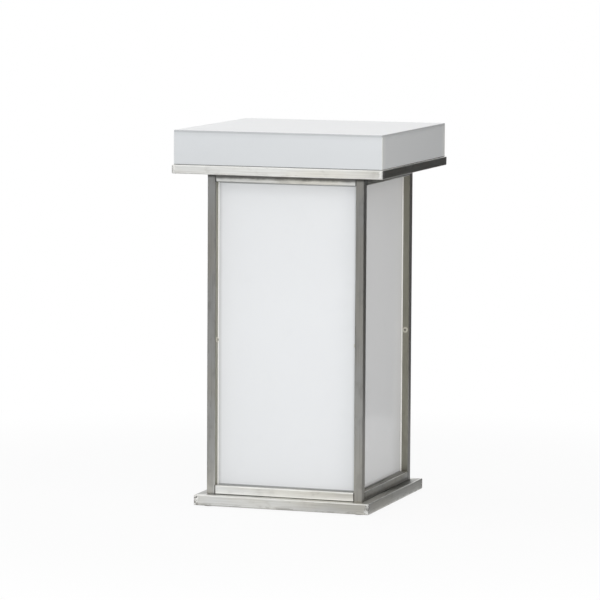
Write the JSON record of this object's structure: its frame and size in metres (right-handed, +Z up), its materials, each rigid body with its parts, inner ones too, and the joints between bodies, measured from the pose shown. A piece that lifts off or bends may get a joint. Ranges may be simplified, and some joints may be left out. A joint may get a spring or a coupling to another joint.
{
  "type": "illuminated cocktail table",
  "caption": "Square bar-height table with an opal acrylic top box in a steel tray, on a column of steel tube and opal panels around an inner light, over a flat steel base.",
  "frame": {"origin": "middle of the footprint, on the floor under the foot pads", "axes": "+Z up, -Y towards the front of the table, +X to its right"},
  "size_m": [0.608, 0.608, 1.05],
  "materials": {
    "stainless": "brushed stainless tube, welded and dressed at the corners",
    "stop_steel": "plain stainless strip",
    "column_acrylic": "opal acrylic sheet",
    "top_acrylic": "opal acrylic sheet, glued",
    "rubber": "moulded rubber",
    "seal_foam": "closed-cell foam strip",
    "white_sheet": "white coated sheet",
    "aluminium": "mill-finish aluminium",
    "circuit_board": "white solder mask",
    "light_chip": "phosphor-filled chip",
    "screw_steel": "plated steel",
    "black_plastic": "moulded plastic",
    "pale_plastic": "moulded plastic",
    "lead_sheath": "flexible sheath"
  },
  "bodies": {
    "pedestal": {"base_rail_front": "stainless", "base_rail_right": "stainless", "base_rail_rear": "stainless", "base_rail_left": "stainless", "post_front_left": "stainless", "post_front_right": "stainless", "post_rear_right": "stainless", "post_rear_left": "stainless", "bottom_rail_front": "stainless", "bottom_rail_right": "stainless", "bottom_rail_rear": "stainless", "bottom_rail_left": "stainless", "top_rail_front": "stainless", "top_rail_right": "stainless", "top_rail_rear": "stainless", "top_rail_left": "stainless", "panel_angle_front_left": "stop_steel", "panel_angle_front_right": "stop_steel", "panel_angle_rear_right": "stop_steel", "panel_angle_rear_left": "stop_steel", "panel_stop_bars": "stop_steel", "panel_front": "column_acrylic", "panel_right": "column_acrylic", "panel_rear": "column_acrylic", "panel_left": "column_acrylic", "foot_pads": "rubber", "cable_bush": "rubber", "floor_grommet": "rubber", "floor_plate": "white_sheet", "light_mast": "aluminium", "mast_foot": "aluminium", "mast_head": "aluminium", "driver_case": "aluminium", "light_strips": "circuit_board", "upper_light_board": "circuit_board", "light_chips": "light_chip", "panel_retainers": "screw_steel", "floor_plate_screws": "screw_steel", "light_board_screws": "screw_steel", "gear_screws": "screw_steel", "driver_end_caps": "black_plastic", "lead_clip": "black_plastic", "terminal_block": "pale_plastic", "supply_lead": "lead_sheath", "light_lead": "lead_sheath"},
    "tray": {"tray_rail_front": "stainless", "tray_rail_right": "stainless", "tray_rail_rear": "stainless", "tray_rail_left": "stainless", "tray_cross_left": "stainless", "tray_cross_right": "stainless", "tray_stops": "stainless", "corner_locators": "stainless", "tray_floor": "white_sheet", "light_seal": "seal_foam"},
    "top_box": {"table_top": "top_acrylic", "top_side_front": "top_acrylic", "top_side_right": "top_acrylic", "top_side_rear": "top_acrylic", "top_side_left": "top_acrylic"}
  },
  "joints": [
    {"name": "tray_lift", "type": "slide", "parent": "pedestal", "child": "tray", "axis": [0, 0, 1], "range_m": [0, 0.08]},
    {"name": "top_lift", "type": "slide", "parent": "tray", "child": "top_box", "axis": [0, 0, 1], "range_m": [0, 0.12]}
  ]
}
